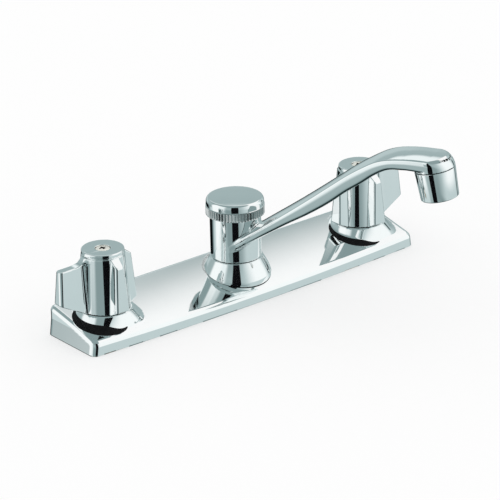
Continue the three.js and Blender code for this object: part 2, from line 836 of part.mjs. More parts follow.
// ---------------------------------------------------------------- aerator, on the outlet's axis
function aeratorHousing() {
  const top = -clearance;
  const neckTop = aeratorNeckLength;
  return solid(
    onOutlet(
      revolve([
        [aeratorBore - 1.4, -aeratorLength],
        [aeratorBottomRadius - 0.6, -aeratorLength],
        [aeratorBottomRadius, -aeratorLength + 0.6],
        [aeratorTopRadius, top],
        [aeratorNeckRadius, top],
        [aeratorNeckRadius, neckTop],
        [aeratorBore, neckTop],
        [aeratorBore, -aeratorLength + aeratorLip],
        [aeratorBore - 1.4, -aeratorLength + aeratorLip],
      ]),
    ),
  );
}

function aeratorScreen() {
  const low = -aeratorLength + aeratorLip + clearance;
  const body = solid(disc(aeratorBore - clearance, low, low + aeratorScreenThickness));
  const holes = [];
  for (let k = 0; k < aeratorHoleRings; k++) {
    const count = Math.max(1, 6 * k);
    for (let i = 0; i < count; i++) {
      const angle = (2 * Math.PI * i) / count;
      const radius = k * aeratorHolePitch;
      holes.push(
        disc(aeratorHoleRadius, low - 1, low + aeratorScreenThickness + 1, 6).translate(
          radius * Math.cos(angle),
          radius * Math.sin(angle),
          0,
        ),
      );
    }
  }
  return solid(onOutlet(part("", cut(body, ...holes.map(solid)), nylon).geometry));
}

function aeratorWasher() {
  const low = aeratorNeckLength + clearance;
  const high = noseSocketDepth - clearance;
  return solid(onOutlet(ring(aeratorBore - 2.4, noseSocketRadius - clearance, low, high, smallSides)));
}

// ---------------------------------------------------------------- assembly
const faucet = new THREE.Group();
faucet.add(
  part("deck_plate", deckPlate(), chrome),
  part("deck_gasket", deckGasket(), rubber),
  part("waterway_body", waterwayBody(), brass),
  part("spout_base_ring", spoutRing(), chrome),
  part("spout_post", spoutPost(), brass),
  part("spout_lower_o_ring", sealRing(sealHeights[0]), rubber),
  part("spout_upper_o_ring", sealRing(sealHeights[1]), rubber),
  part("spout_glide_washer", glideWasher(), nylon),
  part("spout_nut", spoutNut(), chrome),
);

// Each side stands on its own hole; the lever points away from the middle.
for (const [side, outer, turn] of [["left", -1, leftHandleTurn], ["right", 1, rightHandleTurn]]) {
  const station = new THREE.Group();
  station.position.x = (outer * holeSpacing) / 2;
  const seat = new THREE.Group();
  seat.position.x = outer * portOffset;
  seat.add(
    part(side + "_seat_seal", seatSeal(), rubber),
  );
  const turning = new THREE.Group();
  turning.rotation.z = THREE.MathUtils.degToRad(turn);
  turning.add(
    part(side + "_cartridge_stem", cartridgeStem(), brass),
    part(side + "_handle", handle(), chrome),
    part(side + "_handle_screw", handleScrew(), steel),
  );
  station.add(
    part(side + "_shank", shank(), brass),
    part(side + "_mounting_washer", mountingWasher(), steel),
    part(side + "_mounting_nut", mountingNut(), nylon),
    part(side + "_cartridge_body", cartridgeBody(outer), acetal),
    part(side + "_bonnet_nut", bonnetNut(), brass),
    seat,
    turning,
  );
  faucet.add(station);
}

const spout = new THREE.Group();
spout.rotation.z = THREE.MathUtils.degToRad(spoutSwing - 90);
spout.add(
  part("spout_arm", spoutArm(), chrome),
  part("aerator_housing", aeratorHousing(), chrome),
  part("aerator_screen", aeratorScreen(), nylon),
  part("aerator_washer", aeratorWasher(), rubber),
);
faucet.add(spout);

export default faucet;
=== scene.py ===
import json
import math

import bmesh
import bpy
import numpy as np
from mathutils import Matrix, Vector


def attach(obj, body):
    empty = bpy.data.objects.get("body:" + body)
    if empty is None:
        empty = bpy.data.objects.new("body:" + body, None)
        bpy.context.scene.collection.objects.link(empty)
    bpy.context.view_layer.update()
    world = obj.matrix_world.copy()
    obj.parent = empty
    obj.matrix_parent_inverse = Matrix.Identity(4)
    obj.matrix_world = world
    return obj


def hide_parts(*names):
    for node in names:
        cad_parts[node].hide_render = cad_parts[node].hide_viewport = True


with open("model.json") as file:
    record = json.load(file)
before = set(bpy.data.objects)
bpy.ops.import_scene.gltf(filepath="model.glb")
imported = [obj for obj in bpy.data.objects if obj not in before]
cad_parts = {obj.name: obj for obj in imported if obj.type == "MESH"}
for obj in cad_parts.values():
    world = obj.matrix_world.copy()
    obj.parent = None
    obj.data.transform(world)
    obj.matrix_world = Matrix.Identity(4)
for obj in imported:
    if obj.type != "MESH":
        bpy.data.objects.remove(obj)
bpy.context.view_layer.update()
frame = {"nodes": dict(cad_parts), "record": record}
MM = 0.001

# ---------------------------------------------------------------- sizes, as in the CAD source
CLEARANCE = 0.3
HOLE_SPACING = 203.2
PLATE_LENGTH, PLATE_BACK, PLATE_FRONT, PLATE_BOW = 253.4, 24.5, 23.0, 3.3
PLATE_CORNER, PLATE_HEIGHT, PLATE_SLOPE, PLATE_ROUND = 4.6, 14.0, 0.22, 3.0
PLATE_WALL, PLATE_DRAFT, PLATE_INNER_ROUND = 2.0, 1.5, 1.0
BOSS_TOP, BOSS_RADIUS, BOSS_SPREAD, BOSS_SWEEP = 18.7, 16.7, 0.64, 4.0
BOSS_WALL, BOSS_EDGE, BOSS_SHOULDER = 1.8, 0.6, 0.4
BOSS_HOLLOW_FOOT, BOSS_HOLLOW_SPREAD = 2, 2
SWEEP_OUT, SWEEP_MOST = 0.7, 0.7  # largest shares of the sweep's width and of the flank's length
SWEEP_ROOM, FLANK_FALL = 1.5, 0.4  # room kept before the plate's front edge, and slope past it
TOWER_HOLE, SPOUT_HOLE = 10.7, 12.8
RING_TOP, RING_TOP_RADIUS, RING_FOOT_RADIUS, RING_DROP = 23.3, 16.7, 21.6, 10.6
RING_WALL, RING_BORE, RING_EDGE = 1.4, 9.8, 0.4
RING_ARC, RING_STEPS, RING_SINK = math.pi / 3, 24, 6.0  # the ring is cut where it meets the plate
HANDLE_BOTTOM, HANDLE_TOP, HANDLE_RADIUS, HANDLE_FOOT = 19.06, 56.7, 13.0, 15.4
COLLAR_HEIGHT, COLLAR_STEP, HANDLE_WALL, HANDLE_ROOF = 3.2, 0.35, 1.2, 5.0
ARM_TOP_WIDTH, ARM_FOOT_WIDTH = 4.6, 10.0  # thickness of the lever and the fins
FIN_REACH_TOP, FIN_REACH_FOOT, FIN_DROP, FIN_RISE = 18.7, 20.6, 7.4, 2.6
LEVER_REACH_TOP, LEVER_REACH_FOOT, LEVER_DROP = 31.6, 33.0, 7.4
LEVER_TIP_FOOT, LEVER_NECK, LEVER_RISE = 28.4, 4.6, 0.8
LEFT_TURN, RIGHT_TURN = 176.2, 0.3  # degrees that each handle's lever stands from +X
CORE_RADIUS, CORE_FOOT = 7.4, 34  # the solid middle that grips the stem
STEM_HOLE, STEM_TOP = 4.2, 50.0
SCREW_HEAD, SCREW_HEIGHT, SCREW_HOLE = 4.5, 1.7, 2.1
SCREW_ROD, SCREW_GRIP = 1.6, 12  # the rod's radius, and how far it reaches into the stem
SCREW_OVERLAP, SCREW_TAPER, SCREW_TIP_EDGE = 0.5, 1.2, 0.1
HUB_RADIUS, HUB_BOTTOM, HUB_TOP, HUB_BORE = 15.9, 23.7, 51.4, 10.1
HUB_RECESS, HUB_RECESS_DEPTH, HUB_EDGE, HUB_JOIN = 13.6, 1.4, 0.4, 0.9
POST_THREAD, POST_SHOULDER = 8.4, 45.0
NUT_BOTTOM, NUT_TOP, NUT_RADIUS, NUT_FACE = 51.8, 62.3, 18.0, 16.1
NUT_KNURL, NUT_KNURL_TOP, NUT_STEP = 18.3, 57.4, 0.25
NUT_TEETH, NUT_TOOTH_DEPTH, NUT_TOOTH_END, NUT_TOOTH_POWER = 60, 0.5, 0.5, 0.7
NUT_DOME = 1.5  # the rounded top's height over its width
NUT_BORE, NUT_SLEEVE, NUT_CEILING, NUT_ROOF, NUT_WALL = 8.7, 12.0, 3.6, 2.6, 2.6
SPOUT_SWING, SPOUT_REACH, SPOUT_PEAK, SPOUT_ROOT = 25.5, 132.2, 108.2, 34.6
ARM_ROOT_HALF, NOSE_RADIUS, NOSE_HEIGHT, NOSE_TILT = 15.2, 12.45, 8.0, 10.8
NOSE_SOCKET, NOSE_SOCKET_DEPTH = 10.3, 6.0
ARM_STATIONS = [  # share of the reach, share of the climb, depth of the arm
    (0, 0, 7.2), (0.076, 0.092, 7.2), (0.189, 0.234, 7.6), (0.303, 0.378, 8.5),
    (0.416, 0.527, 10.4), (0.53, 0.682, 11.4), (0.605, 0.783, 10.9), (0.681, 0.872, 10.4),
    (0.741, 0.932, 8.8), (0.802, 0.969, 7.1), (0.877, 0.99, 7.3), (1, 1, 8.2),
]
AERATOR_LENGTH, AERATOR_FOOT, AERATOR_BORE, AERATOR_LIP = 18.4, 11.5, 8.9, 1.1
AERATOR_NECK, AERATOR_NECK_LENGTH, AERATOR_MOUTH = 9.9, 4.0, AERATOR_BORE - 1.4
AERATOR_MOUTH_EDGE, AERATOR_FOOT_EDGE, AERATOR_TOP_EDGE = 0.2, 0.7, 0.25
SHANK_RADIUS, SHANK_BORE, SHANK_LENGTH = 10.3, 6.2, 48.0
SHANK_SHOULDER, SHANK_SPIGOT, SHANK_TOP = 2.3, 8.1, 4.9
SEAM = SPOUT_PEAK - NOSE_HEIGHT

# ---------------------------------------------------------------- sizes of details drawn only here
PLATE_CROWN, CROWN_START, CROWN_LIMIT = 0.0009, 250, 600  # the top is fuller in the middle
CREASE, TIGHT_CREASE, CREASE_FADE = 0.35, 0.05, 6  # rounding where an arm meets the bell
NECK_START, NECK_RUN = 1, 3  # the lever's neck grows from this far below its tip's top
LEVER_ROOT_TOP, LEVER_ROOT_FOOT = 0.58, 0.8  # shares of the lever's thickness left at the bell
FIN_ROOT = 1.2
LEVER_FLARE, FIN_FLARE, FLARE_START = 5.0, 6.0, 0.6  # length over which the thickness grows
LEVER_END, FIN_END, LEVER_LONGER = 2.2, 1.6, 0.4  # rounding of the tips, and what it costs in reach
LEVER_SWEEP, LEVER_SWEEP_RUN = 2.805, 9.0  # the lever's top sweeps up to the neck
GROOVE_HALF, GROOVE_DEPTH, GROOVE_OUT = 0.32, 0.4, 0.7  # groove under the collar
HANDLE_EDGE, COLLAR_EDGE = 0.5, 0.7
SCREW_DOME, SCREW_PROUD, SCREW_EDGE = 13, 0.25, 0.45
SCREW_THREAD, SCREW_PITCH = 0.18, 0.8
SLOT_REACH, SLOT_HALF, SLOT_DEPTH, SLOT_RISE = 2.3, 0.75, 2.2, 0.6  # crossed slots of the screw
SLOT_MARGIN = 0.3  # faces up to this far past the slots, and this far under the top, are painted dark as shade
LIP_RADIUS, LIP_SHIFT, LIP_AWAY = 17.65, 6.85, math.radians(-148)  # outer circle of the black lip of painted shade
LIP_WAVER, LIP_WAVER_AWAY = 1.3, math.radians(-115)  # its inner edge isn't quite round
LIP_RISE, LIP_ROOT, LIP_LEAST, LIP_SUNK, LIP_PROUD = 0.25, 0.6, 0.3, 0.4, 0.03
LIP_WAYS, LIP_STRIPS, LIP_FULL, LIP_THIN = 180, 7, 0.3, 0.5
ARM_CROWN, CROWN_LIFT, ARM_BULGE = 58.0, 1.0, 0.35  # the arm's top and sides are slightly full
ARM_EDGE, ARM_UNDER_EDGE = 1.0, 2.0
NOSE_EDGE, NOSE_EDGE_GAIN = 1.2, 6.4  # rounding of the nose's top, growing to its front
THREAD_PITCH, THREAD_DEPTH = 1.8, 0.9
THREAD_TOP, THREAD_FADE, THREAD_LEAD = -3, 2, 1.5  # ends below the deck; lengths of its two ends

# ---------------------------------------------------------------- camera, fitted to the photograph
AZIMUTH, ELEVATION, ROLL = math.radians(38.785), math.radians(22.992), math.radians(-1.382)
CAMERA_PLACE, LENS, SENSOR = (-1010.514, -1271.207, 714.928), 204.64, 36
ahead = Vector((
    math.sin(AZIMUTH) * math.cos(ELEVATION),
    math.cos(AZIMUTH) * math.cos(ELEVATION),
    -math.sin(ELEVATION),
))
level = Vector((math.cos(AZIMUTH), -math.sin(AZIMUTH), 0))
upright = level.cross(ahead)
right = level * math.cos(ROLL) + upright * math.sin(ROLL)
up = upright * math.cos(ROLL) - level * math.sin(ROLL)
camera_data = bpy.data.cameras.new("camera")
camera_data.sensor_width, camera_data.lens = SENSOR, LENS
camera_data.clip_start, camera_data.clip_end = 0.05, 100
camera = bpy.data.objects.new("camera", camera_data)
bpy.context.scene.collection.objects.link(camera)
axes = Matrix((right, up, -ahead)).transposed().to_4x4()
camera.matrix_world = Matrix.Translation(Vector(CAMERA_PLACE) * MM) @ axes
bpy.context.scene.camera = camera
bpy.context.scene.view_settings.view_transform = "Standard"


# ---------------------------------------------------------------- surfaces of distance fields
def round_cut(a, b, radius):
    """What two fields share, with a rounded edge between them."""
    return np.minimum(-radius, np.maximum(a, b)) + np.hypot(
        np.maximum(radius + a, 0), np.maximum(radius + b, 0)
    )


def round_join(a, b, radius):
    """Two fields joined with a concave curve between them."""
    return np.maximum(radius, np.minimum(a, b)) - np.hypot(
        np.maximum(radius - a, 0), np.maximum(radius - b, 0)
    )


def gradient(field, points, step=2e-3):
    """Slope of a field at points, from its change over two steps along each axis."""
    found = np.empty_like(points)
    for i in range(3):
        shift = np.zeros(3)
        shift[i] = step
        found[:, i] = (field(*(points + shift).T) - field(*(points - shift).T)) / (2 * step)
    return found


def settle(field, points, most, rounds):
    """Moves points onto the field's zero level, each round by no more than most."""
    for _ in range(rounds):
        slope = gradient(field, points)
        move = -slope * (field(*points.T) / np.maximum((slope**2).sum(1), 0.2))[:, None]
        length = np.linalg.norm(move, axis=1)
        points = points + move * np.minimum(1, most / np.maximum(length, 1e-9))[:, None]
    return points


def net(field, low, high, cell):
    """Corners, four-sided faces and normals of the surface where the field is zero.

    Low and high are corners of a box that holds the surface. Each cube of the box that the surface
    crosses gets one corner, and each side that it crosses between four cubes gets a face.
    """
    low = np.array(low, float)
    counts = np.ceil((np.array(high) - low) / cell).astype(int) + 1
    lines = [low[i] + cell * np.arange(counts[i]) for i in range(3)]
    value = field(*np.meshgrid(*lines, indexing="ij"))
    inside = value < 0
    size = counts - 1
    corners = [(i, j, k) for i in (0, 1) for j in (0, 1) for k in (0, 1)]
    filled = sum(
        inside[i : size[0] + i, j : size[1] + j, k : size[2] + k].astype(np.int8)
        for i, j, k in corners
    )
    mixed = (filled > 0) & (filled < 8)
    cells = np.argwhere(mixed)
    place = np.zeros(mixed.shape, int)
    place[mixed] = np.arange(len(cells))
    total, hits = np.zeros((len(cells), 3)), np.zeros(len(cells))
    for a in corners:
        for axis in range(3):
            if a[axis]:
                continue
            b = list(a)
            b[axis] = 1
            va = value[tuple((cells + a).T)]
            vb = value[tuple((cells + b).T)]
            crossed = (va < 0) != (vb < 0)
            point = np.tile(np.array(a, float), (len(cells), 1))
            point[:, axis] += va / np.where(crossed, va - vb, 1)
            total[crossed] += point[crossed]
            hits += crossed
    points = low + cell * (cells + total / hits[:, None])
    faces = []
    for axis in range(3):
        u, v = (axis + 1) % 3, (axis + 2) % 3
        take = [slice(1, -1)] * 3
        take[axis] = slice(0, -1)
        first = inside[tuple(take)]
        take[axis] = slice(1, None)
        flips = first != inside[tuple(take)]
        base = np.argwhere(flips)
        base[:, u] += 1
        base[:, v] += 1
        around = []
        for du, dv in ((-1, -1), (0, -1), (0, 0), (-1, 0)):
            at = base.copy()
            at[:, u] += du
            at[:, v] += dv
            around.append(place[tuple(at.T)])
        quads = np.stack(around, 1)
        inner = first[flips]
        quads[~inner] = quads[~inner][:, ::-1]
        faces.append(quads)
    faces = np.concatenate(faces)
    ends = np.concatenate([faces[:, [i, (i + 1) % 4]] for i in range(4)])
    links = np.bincount(ends[:, 0], minlength=len(points))
    points = settle(field, points, cell / 2, 3)
    for _ in range(4):
        around = np.stack(
            [np.bincount(ends[:, 0], points[ends[:, 1], i], len(points)) for i in range(3)], 1
        )
        points = settle(field, points + 0.5 * (around / links[:, None] - points), cell / 2, 2)
    normals = gradient(field, points)
    return points, faces, normals / np.maximum(np.linalg.norm(normals, axis=1), 1e-9)[:, None]


# ---------------------------------------------------------------- turned surfaces
def outline(*corners, steps=5):
    """A closed outline from (radius, height) corners, or (radius, height, rounding)."""
    path = []
    for i, corner in enumerate(corners):
        point = np.array(corner[:2], float)
        if len(corner) < 3:
            path.append(point)
            continue
        a = np.array(corners[i - 1][:2], float) - point
        b = np.array(corners[(i + 1) % len(corners)][:2], float) - point
        a, b = a / np.linalg.norm(a), b / np.linalg.norm(b)
        half = math.acos(float(np.clip(a @ b, -1, 1))) / 2
        middle = (a + b) / np.linalg.norm(a + b)
        centre = point + middle * corner[2] / math.sin(half)
        first = point + a * corner[2] / math.tan(half) - centre
        last = point + b * corner[2] / math.tan(half) - centre
        whole = math.pi - 2 * half
        for step in range(steps + 1):
            t = step / steps
            path.append(
                centre
                + (math.sin((1 - t) * whole) * first + math.sin(t * whole) * last) / math.sin(whole)
            )
    return path


def finely(start, end, step):
    """Points along a straight line of an outline."""
    start, end = np.array(start, float), np.array(end, float)
    count = max(2, int(np.linalg.norm(end - start) / step))
    return [start + (end - start) * i / count for i in range(count + 1)]


def ring_faces(rows, sides):
    """Four-sided faces between rings of corners, where the last ring meets the first."""
    row, column = np.meshgrid(np.arange(rows), np.arange(sides), indexing="ij")
    below, beside = (row + 1) % rows, (column + 1) % sides
    corners = (row, column), (row, beside), (below, beside), (below, column)
    return np.stack([ring * sides + spot for ring, spot in corners], -1).reshape(-1, 4)


def turned(path, sides=96, shape=None):
    """Corners and faces of an outline turned round Z; shape changes radius by height and angle."""
    path = np.array(path, float)
    angle = np.arange(sides) * 2 * math.pi / sides
    radius = np.repeat(path[:, :1], sides, 1)
    height = np.repeat(path[:, 1:], sides, 1)
    if shape:
        radius, height = shape(radius, height, angle[None, :])
    points = np.stack([radius * np.cos(angle), radius * np.sin(angle), height], -1).reshape(-1, 3)
    return points, ring_faces(len(path), sides)


def place(points, turn=0.0, shift=(0, 0, 0)):
    """Points turned round Z by degrees, then shifted."""
    c, s = math.cos(math.radians(turn)), math.sin(math.radians(turn))
    return points @ np.array([[c, s, 0], [-s, c, 0], [0, 0, 1]]) + np.array(shift, float)


def piece(name, points, faces, material, body, stands_for, slot, normals=None, sharp=35):
    """Makes a mesh object that rides on a body and takes a CAD node's place, if one is named."""
    mesh = bpy.data.meshes.new(name)
    mesh.from_pydata((points * MM).tolist(), [], faces.tolist())
    if normals is None:
        work = bmesh.new()
        work.from_mesh(mesh)
        bmesh.ops.remove_doubles(work, verts=work.verts, dist=1e-6)
        bmesh.ops.recalc_face_normals(work, faces=work.faces)
        work.to_mesh(mesh)
        work.free()
    mesh.polygons.foreach_set("use_smooth", [True] * len(mesh.polygons))
    if normals is None:
        mesh.set_sharp_from_angle(angle=math.radians(sharp))
    else:
        mesh.normals_split_custom_set_from_vertices(normals.tolist())
    mesh.materials.append(material)
    made = bpy.data.objects.new(name, mesh)
    bpy.context.scene.collection.objects.link(made)
    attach(made, body)
    if stands_for:
        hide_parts(stands_for)
    return made


# ---------------------------------------------------------------- materials
NOISE_DETAIL, NOISE_ROUGHNESS, GRAIN = 3.0, 0.55, 4.3  # the grain is this much finer
NOISE_LOW, NOISE_HIGH = 0.3, 0.7  # the noise seldom leaves this range


def nodes_of(name):
    """A new material with its tree and its shader."""
    material = bpy.data.materials.new(name)
    material.use_nodes = True
    tree = material.node_tree
    return material, tree, tree.nodes["Principled BSDF"]


def noise(tree, scale, stretch):
    where = tree.nodes.new("ShaderNodeTexCoord")
    turn = tree.nodes.new("ShaderNodeMapping")
    turn.inputs["Scale"].default_value = stretch
    made = tree.nodes.new("ShaderNodeTexNoise")
    made.inputs["Scale"].default_value = scale
    made.inputs["Detail"].default_value = NOISE_DETAIL
    made.inputs["Roughness"].default_value = NOISE_ROUGHNESS
    tree.links.new(where.outputs["Object"], turn.inputs["Vector"])
    tree.links.new(turn.outputs["Vector"], made.inputs["Vector"])
    return made.outputs["Fac"]


def spread(tree, source, low, high):
    """The noise as a number between low and high."""
    made = tree.nodes.new("ShaderNodeMapRange")
    made.inputs["From Min"].default_value = NOISE_LOW
    made.inputs["From Max"].default_value = NOISE_HIGH
    made.inputs["To Min"].default_value = low
    made.inputs["To Max"].default_value = high
    tree.links.new(source, made.inputs["Value"])
    return made.outputs["Result"]


def blended(tree, source, first, second):
    """The noise as a colour between first and second."""
    ramp = tree.nodes.new("ShaderNodeValToRGB")
    ends = zip(ramp.color_ramp.elements, (NOISE_LOW, NOISE_HIGH), (first, second))
    for stop, position, colour in ends:
        stop.position, stop.color = position, (*colour, 1)
    tree.links.new(source, ramp.inputs["Fac"])
    return ramp.outputs["Color"]


def bumped(tree, shader, source, strength, distance):
    """Lets the noise tilt the surface a little."""
    bump = tree.nodes.new("ShaderNodeBump")
    bump.inputs["Strength"].default_value = strength
    bump.inputs["Distance"].default_value = distance
    tree.links.new(source, bump.inputs["Height"])
    tree.links.new(bump.outputs["Normal"], shader.inputs["Normal"])


def finish(name, first, second, metallic, rough, scale, bump, fine=True, stretch=(1, 1, 1)):
    """A material whose colour, roughness and relief vary with noise."""
    material, tree, shader = nodes_of(name)
    shader.inputs["Metallic"].default_value = metallic
    coarse = noise(tree, scale, stretch)
    tree.links.new(blended(tree, coarse, first, second), shader.inputs["Base Color"])
    grain = noise(tree, scale * GRAIN, stretch)
    tree.links.new(spread(tree, grain, *rough), shader.inputs["Roughness"])
    bumped(tree, shader, grain if fine else coarse, *bump)
    return material


CHROME = finish(
    "chrome", (0.92, 0.94, 0.94), (0.94, 0.96, 0.96),
    metallic=1, rough=(0.035, 0.06), scale=55, bump=(0.05, 0.00002), fine=False,
)
BRASS = finish(
    "brass", (0.46, 0.31, 0.12), (0.6, 0.43, 0.19),
    metallic=1, rough=(0.24, 0.42), scale=160, bump=(0.3, 0.0001),
)
STEEL = finish(
    "steel", (0.5, 0.51, 0.52), (0.62, 0.63, 0.64),
    metallic=1, rough=(0.16, 0.34), scale=220, bump=(0.15, 0.00006), stretch=(1, 1, 8),
)
SCREW = finish(
    "screw_steel", (0.90, 0.88, 0.80), (0.95, 0.93, 0.86),
    metallic=0.45, rough=(0.28, 0.4), scale=300, bump=(0.2, 0.00005),
)
# painted shade: near-black metal for the faces inside the screw's slots
SLOT_SHADE = finish(
    "painted_slot_shade", (0.02, 0.02, 0.022), (0.05, 0.05, 0.055),
    metallic=1, rough=(0.4, 0.6), scale=300, bump=(0.2, 0.00005),
)
KNURL = finish(
    "knurled_chrome", (0.5, 0.52, 0.52), (0.66, 0.68, 0.68),
    metallic=1, rough=(0.12, 0.22), scale=140, bump=(0.2, 0.00006),
)
# painted shade: near-black material for the lips that stand in for the shade under each bell and
# its reflection in the flank
SHADE_LIP_BLACK = finish(
    "painted_shade_black", (0.003, 0.003, 0.004), (0.007, 0.007, 0.008),
    metallic=0, rough=(0.5, 0.68), scale=400, bump=(0.2, 0.00008),
)
SHADE_LIP_BLACK.node_tree.nodes["Principled BSDF"].inputs["Specular IOR Level"].default_value = 0.15
RUBBER = finish(
    "rubber", (0.012, 0.012, 0.013), (0.022, 0.022, 0.023),
    metallic=0, rough=(0.6, 0.82), scale=400, bump=(0.35, 0.00012),
)
NYLON = finish(
    "nylon", (0.66, 0.65, 0.6), (0.72, 0.71, 0.66),
    metallic=0, rough=(0.38, 0.55), scale=260, bump=(0.2, 0.0001),
)
ACETAL = finish(
    "acetal", (0.14, 0.17, 0.2), (0.17, 0.2, 0.23),
    metallic=0, rough=(0.35, 0.5), scale=260, bump=(0.2, 0.00008),
)


# ---------------------------------------------------------------- cover plate
def lesser(a, b, power=12.0):
    """The lesser of two lengths, with a soft change from one to the other."""
    return (a**-power + b**-power) ** (-1 / power)


def boss_flank(radius, sine):
    """Height and slope of the concave flank round a handle's boss."""
    across = HOLE_SPACING / (PLATE_LENGTH - 2 * PLATE_CORNER)
    front_room = PLATE_FRONT + PLATE_BOW * (1 - across**2) - PLATE_ROUND
    rise = PLATE_SLOPE * sine
    meets = (BOSS_RADIUS + BOSS_SPREAD * (BOSS_TOP - PLATE_HEIGHT)) / (1 + BOSS_SPREAD * rise)
    room = front_room / np.maximum(-sine, 0.1)
    end = lesser(meets + SWEEP_OUT * BOSS_SWEEP, room)
    root = lesser(meets, room - SWEEP_ROOM)
    end_z, root_z = PLATE_HEIGHT + rise * end, PLATE_HEIGHT + rise * root
    top_z = BOSS_TOP - BOSS_SHOULDER
    flank = np.hypot(root - BOSS_RADIUS, root_z - top_z)
    share = np.minimum(SWEEP_MOST, BOSS_SWEEP / flank)
    start = root + share * (BOSS_RADIUS - root)
    start_z = root_z + share * (top_z - root_z)
    # the share t of the curve that stands over the radius
    a, b, c = end - 2 * root + start, 2 * (root - end), end - radius
    t = 2 * c / (-b + np.sqrt(np.maximum(b * b - 4 * a * c, 1e-9)))
    t = np.clip(t, 0, 1)
    curve = (1 - t) ** 2 * end_z + 2 * t * (1 - t) * root_z + t**2 * start_z
    run = 2 * (1 - t) * (root - end) + 2 * t * (start - root)
    climb = 2 * (1 - t) * (root_z - end_z) + 2 * t * (start_z - root_z)
    steep = (top_z - start_z) / (BOSS_RADIUS - start)
    height = np.where(radius < start, start_z + (radius - start) * steep, curve)
    slope = np.where(radius < start, steep, climb / run)
    beyond = np.maximum(radius - end, 0)  # past its end the flank falls away under the plate
    return height + (rise - FLANK_FALL) * beyond, slope


def plate_shell(x, y, z, inset):
    """The plate's outline and its sloping top, both moved inwards."""
    end_x = PLATE_LENGTH / 2 - PLATE_CORNER
    bow = PLATE_FRONT + PLATE_BOW * (1 - (np.minimum(np.abs(x), end_x) / end_x) ** 2)
    lean = PLATE_DRAFT * (1 - np.clip(z / (PLATE_HEIGHT - PLATE_ROUND), 0, 1))
    sides = np.maximum(y - PLATE_BACK, -y - bow)
    ends = np.abs(x) - PLATE_LENGTH / 2 - lean
    plan = round_cut(sides + inset, ends + inset, PLATE_CORNER - inset)
    crown = PLATE_CROWN * (CROWN_START - np.minimum(y**2, CROWN_LIMIT))
    top = PLATE_HEIGHT + PLATE_SLOPE * y + crown - inset
    return plan, (z - top) / math.hypot(1, PLATE_SLOPE)


def plate_field(x, y, z):
    across = np.abs(x) - HOLE_SPACING / 2
    radius = np.hypot(across, y)
    height, slope = boss_flank(radius, y / np.maximum(radius, 1e-6))
    flank = (z - height) / np.sqrt(1 + slope**2)
    boss = round_cut(flank, z - BOSS_TOP, BOSS_EDGE)
    plan, flat = plate_shell(x, y, z, 0)
    outside = round_cut(plan, np.minimum(flat, boss), PLATE_ROUND)
    hollow = round_cut(*plate_shell(x, y, z, PLATE_WALL), PLATE_INNER_ROUND)
    ceiling = BOSS_TOP - BOSS_WALL
    rise = np.clip((z - BOSS_HOLLOW_FOOT) / (ceiling - BOSS_HOLLOW_FOOT), 0, 1)
    wider = BOSS_HOLLOW_SPREAD * (1 - rise)
    socket = np.maximum(radius - BOSS_RADIUS + BOSS_WALL - wider, z - ceiling)
    hollow = np.minimum(hollow, np.minimum(socket, radius - TOWER_HOLE))
    hollow = np.minimum(hollow, np.hypot(x, y) - SPOUT_HOLE)
    return np.maximum(np.maximum(outside, -z), -hollow)


half_length = PLATE_LENGTH / 2 + PLATE_DRAFT + 1
points, faces, normals = net(
    plate_field, (-half_length, -28, -1.3), (half_length, 26, 21), cell=0.9
)
piece("cover_plate", points, faces, CHROME, "deck", "deck_plate", "chrome", normals)


# ---------------------------------------------------------------- black lips of painted shade round the bosses
def painted_shade_lip(sign, start):
    """A thin black ring of painted shade lying on the boss's flank, widest towards the front left.
    """
    ways = np.linspace(0, 2 * math.pi, LIP_WAYS, endpoint=False)
    off = ways - LIP_AWAY
    inner = start + LIP_WAVER * np.cos(ways - LIP_WAVER_AWAY)
    outer = LIP_SHIFT * np.cos(off) + np.sqrt(LIP_RADIUS**2 - (LIP_SHIFT * np.sin(off)) ** 2)
    # past the crescent's tips the ring is in the plate
    sunk = np.clip(LIP_THIN - (outer - inner), 0, LIP_SUNK)
    outer = np.maximum(outer, inner + LIP_LEAST)
    levels = np.arange(21, 3, -0.04)  # heights where the plate's surface is looked for
    rings = []
    shares = np.linspace(0, 1, LIP_STRIPS)
    for share in shares:
        radius = inner + (outer - inner) * share
        x = radius * np.cos(ways) + sign * HOLE_SPACING / 2
        y = radius * np.sin(ways)
        solid = plate_field(x[:, None], y[:, None], levels[None, :]) < 0
        height = levels[solid.argmax(1)] + LIP_PROUD - sunk
        rings.append((x, y, height))
    crown = np.minimum(LIP_RISE, LIP_FULL * (outer - inner) - 2 * LIP_PROUD)
    rows = [
        (x, y, z + crown * math.sin(math.pi * share) ** 0.5)
        for (x, y, z), share in zip(rings, shares)
    ]
    rows += [(x, y, z - LIP_ROOT) for x, y, z in reversed(rings)]
    points = np.stack([np.stack(row, -1) for row in rows]).reshape(-1, 3)
    return points, ring_faces(len(rows), len(ways))


# each lip is painted shade: a black ring where the shade under the bell and its reflection lie
for side, sign, start in (("left", -1, 18.0), ("right", 1, 18.9)):
    piece(f"{side}_painted_shade_lip", *painted_shade_lip(sign, start), SHADE_LIP_BLACK, "deck", None, "rubber", sharp=60)

